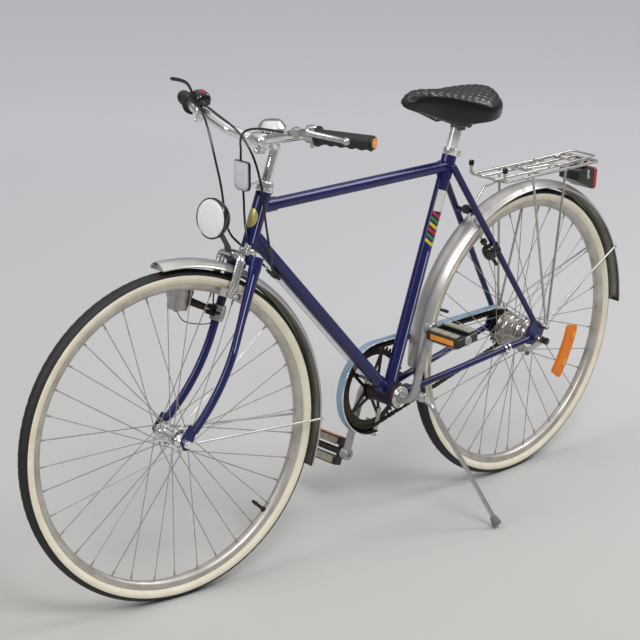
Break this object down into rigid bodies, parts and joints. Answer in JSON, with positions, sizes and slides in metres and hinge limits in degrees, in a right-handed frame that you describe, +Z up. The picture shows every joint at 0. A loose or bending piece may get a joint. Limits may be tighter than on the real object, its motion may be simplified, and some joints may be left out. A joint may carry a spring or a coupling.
{
  "type": "bicycle",
  "caption": "Roadster bicycle with diamond frame, mudguards, rear rack, chain guard, hub gear, dynamo lamp and side stand, parked leaning on the stand.",
  "frame": {"origin": "centre of the bounding box at floor level", "axes": "+X forward, +Y to the left, +Z up"},
  "size_m": [1.7774, 0.6696, 1.0296],
  "materials": {
    "whitewall_tyre": "black tread with cream side walls",
    "steel_rim": "weathered steel",
    "chrome": "polished",
    "orange_plastic": "orange",
    "dark_steel": "oiled, dirty",
    "black_plastic": "satin black",
    "black_rubber": "matt black",
    "navy_paint": "gloss navy blue",
    "bright_alloy": "satin",
    "stainless_sheet": "satin stainless",
    "clear_lens": "clear, ribbed",
    "light_blue_paint": "light blue strip with bright edges"
  },
  "bodies": {
    "frame": {"rear_axle": "chrome", "chain": "dark_steel", "seat_tube": "navy_paint", "head_tube": "navy_paint", "top_tube": "navy_paint", "down_tube": "navy_paint", "bracket_shell": "navy_paint", "bracket_cups": "chrome", "chain_stay_left": "navy_paint", "chain_stay_right": "navy_paint", "headset_cups": "chrome", "rear_mudguard": "stainless_sheet", "rear_mudguard_stay": "stainless_sheet", "seat_post": "chrome", "saddle": "black_plastic", "saddle_clamp": "chrome", "rack": "chrome", "tail_lamp": "black_plastic", "seat_stays": "navy_paint", "frame_lock": "black_plastic", "chain_guard": "light_blue_paint", "stand_bracket": "bright_alloy", "brake_arm": "chrome", "gear_arm": "chrome", "cable_stops": "black_plastic", "gear_wires": "bright_alloy", "gear_housings": "black_rubber"},
    "steering": {"front_axle": "chrome", "fork": "navy_paint", "headset_nut": "chrome", "front_mudguard": "stainless_sheet", "front_mudguard_stay": "stainless_sheet", "handlebar": "chrome", "grip_left": "black_rubber", "grip_right": "black_rubber", "stem": "chrome", "brake_lever": "bright_alloy", "shifter": "black_plastic", "bell": "chrome", "headlamp": "black_plastic", "headlamp_lens": "clear_lens", "front_brake": "chrome", "lamp_bracket": "bright_alloy", "front_reflector": "black_plastic", "dynamo": "bright_alloy", "brake_cable": "black_rubber"},
    "front_wheel": {"front_tyre": "whitewall_tyre", "front_rim": "steel_rim", "front_hub": "chrome"},
    "rear_wheel": {"rear_tyre": "whitewall_tyre", "rear_rim": "steel_rim", "rear_hub": "chrome", "spoke_reflector": "orange_plastic"},
    "crankset": {"crank": "chrome", "chainring": "dark_steel"},
    "sprocket": {"sprocket": "dark_steel"},
    "pedal_left": {"pedal_left": "black_plastic"},
    "pedal_right": {"pedal_right": "black_plastic"},
    "stand": {"side_stand": "bright_alloy"}
  },
  "joints": [
    {"name": "steering_turn", "type": "hinge", "parent": "frame", "child": "steering", "pos_m": [0.3566, -0.00735, 0.70478], "axis": [-0.3338, 0.0493, 0.9414], "range_deg": [-40, 59], "deforming": ["gear_housings"]},
    {"name": "front_wheel_spin", "type": "hinge", "parent": "steering", "child": "front_wheel", "pos_m": [0.54734, -0.03587, 0.34451], "axis": [0.1512, 0.9885, 0.0018], "continuous": true},
    {"name": "rear_wheel_spin", "type": "hinge", "parent": "frame", "child": "rear_wheel", "pos_m": [-0.51193, -0.02624, 0.34432], "axis": [0, 0.9986, -0.0523], "continuous": true},
    {"name": "crank_turn", "type": "hinge", "parent": "frame", "child": "crankset", "pos_m": [-0.07593, -0.02886, 0.29436], "axis": [0, 0.9986, -0.0523], "range_deg": [-80, 180]},
    {"name": "sprocket_turn", "type": "hinge", "parent": "frame", "child": "sprocket", "pos_m": [-0.51193, -0.02624, 0.34432], "axis": [0, 0.9986, -0.0523], "range_deg": [-184.5, 414.5]},
    {"name": "pedal_left_spin", "type": "hinge", "parent": "crankset", "child": "pedal_left", "pos_m": [-0.09972, 0.07687, 0.45839], "axis": [0, 0.9986, -0.0523], "continuous": true},
    {"name": "pedal_right_spin", "type": "hinge", "parent": "crankset", "child": "pedal_right", "pos_m": [-0.05214, -0.13459, 0.13034], "axis": [0, 0.9986, -0.0523], "continuous": true},
    {"name": "stand_fold", "type": "hinge", "parent": "frame", "child": "stand", "pos_m": [-0.13793, 0.02044, 0.27977], "axis": [-0.4104, 0.9107, -0.0477], "range_deg": [0, 95]}
  ],
  "couplings": [
    {"joint": "sprocket_turn", "follows": "crank_turn", "ratio": 2.3}
  ]
}
